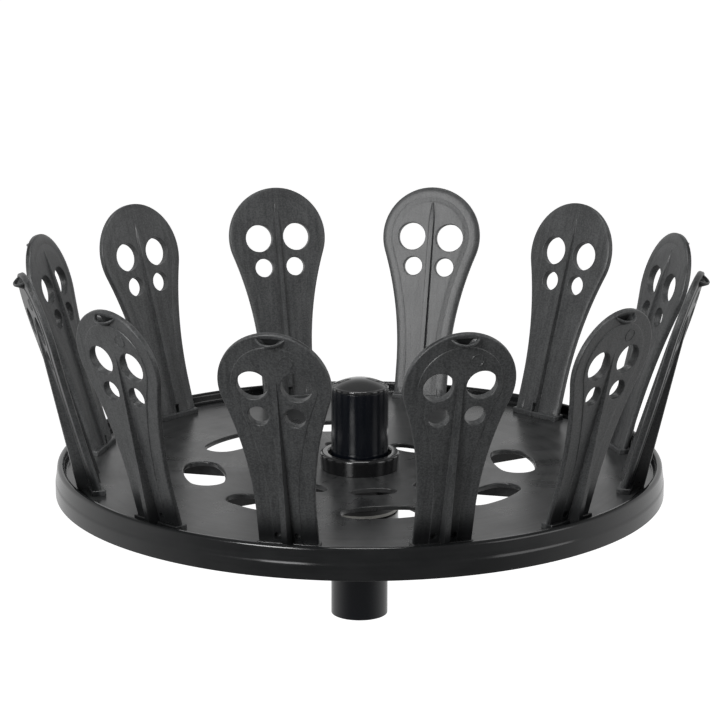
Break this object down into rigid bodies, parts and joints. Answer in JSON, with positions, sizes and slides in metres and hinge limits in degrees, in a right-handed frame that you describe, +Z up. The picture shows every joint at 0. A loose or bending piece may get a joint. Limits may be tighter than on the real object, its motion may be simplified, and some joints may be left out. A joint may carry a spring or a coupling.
{
  "type": "revolving shoe carousel tier",
  "caption": "Revolving round tray on a steel pole with a domed cap, ringed by outward-leaning spoon-shaped shoe holders that plug into sockets near its rim.",
  "frame": {"origin": "centre of the pole's lower end, at the mouth of the socket that takes the next pole section", "axes": "+Z up along the pole; holders stand at 15 degrees plus multiples of 30 degrees about +Z from +X"},
  "size_m": [0.449, 0.449, 0.249],
  "materials": {
    "holder_plastic": "fine matt moulded texture, charcoal black",
    "tray_plastic": "satin moulded black",
    "collar_plastic": "high gloss black",
    "cap_plastic": "gloss black",
    "pole_paint": "gloss black enamel",
    "bush_plastic": "dark self-lubricating plastic",
    "washer_plastic": "natural nylon",
    "socket_plastic": "plain black moulding",
    "pin_steel": "zinc plated steel"
  },
  "bodies": {
    "pole": {"pole_tube": "pole_paint", "pole_cap": "cap_plastic", "pole_socket": "socket_plastic", "support_ring": "collar_plastic", "support_pin": "pin_steel", "thrust_washer": "washer_plastic"},
    "tray": {"tray": "tray_plastic", "hub_collar": "collar_plastic", "upper_bush": "bush_plastic", "lower_bush": "bush_plastic"},
    "holder_01": {"shoe_holder_01": "holder_plastic"},
    "holder_02": {"shoe_holder_02": "holder_plastic"},
    "holder_03": {"shoe_holder_03": "holder_plastic"},
    "holder_04": {"shoe_holder_04": "holder_plastic"},
    "holder_05": {"shoe_holder_05": "holder_plastic"},
    "holder_06": {"shoe_holder_06": "holder_plastic"},
    "holder_07": {"shoe_holder_07": "holder_plastic"},
    "holder_08": {"shoe_holder_08": "holder_plastic"},
    "holder_09": {"shoe_holder_09": "holder_plastic"},
    "holder_10": {"shoe_holder_10": "holder_plastic"},
    "holder_11": {"shoe_holder_11": "holder_plastic"},
    "holder_12": {"shoe_holder_12": "holder_plastic"}
  },
  "joints": [
    {"name": "tray_spin", "type": "hinge", "parent": "pole", "child": "tray", "pos_m": [0, 0, 0.102], "axis": [0, 0, 1], "continuous": true},
    {"name": "holder_01_pull", "type": "slide", "parent": "tray", "child": "holder_01", "axis": [0, 0, 1], "range_m": [0, 0.016]},
    {"name": "holder_02_pull", "type": "slide", "parent": "tray", "child": "holder_02", "axis": [0, 0, 1], "range_m": [0, 0.016]},
    {"name": "holder_03_pull", "type": "slide", "parent": "tray", "child": "holder_03", "axis": [0, 0, 1], "range_m": [0, 0.016]},
    {"name": "holder_04_pull", "type": "slide", "parent": "tray", "child": "holder_04", "axis": [0, 0, 1], "range_m": [0, 0.016]},
    {"name": "holder_05_pull", "type": "slide", "parent": "tray", "child": "holder_05", "axis": [0, 0, 1], "range_m": [0, 0.016]},
    {"name": "holder_06_pull", "type": "slide", "parent": "tray", "child": "holder_06", "axis": [0, 0, 1], "range_m": [0, 0.016]},
    {"name": "holder_07_pull", "type": "slide", "parent": "tray", "child": "holder_07", "axis": [0, 0, 1], "range_m": [0, 0.016]},
    {"name": "holder_08_pull", "type": "slide", "parent": "tray", "child": "holder_08", "axis": [0, 0, 1], "range_m": [0, 0.016]},
    {"name": "holder_09_pull", "type": "slide", "parent": "tray", "child": "holder_09", "axis": [0, 0, 1], "range_m": [0, 0.016]},
    {"name": "holder_10_pull", "type": "slide", "parent": "tray", "child": "holder_10", "axis": [0, 0, 1], "range_m": [0, 0.016]},
    {"name": "holder_11_pull", "type": "slide", "parent": "tray", "child": "holder_11", "axis": [0, 0, 1], "range_m": [0, 0.016]},
    {"name": "holder_12_pull", "type": "slide", "parent": "tray", "child": "holder_12", "axis": [0, 0, 1], "range_m": [0, 0.016]}
  ]
}
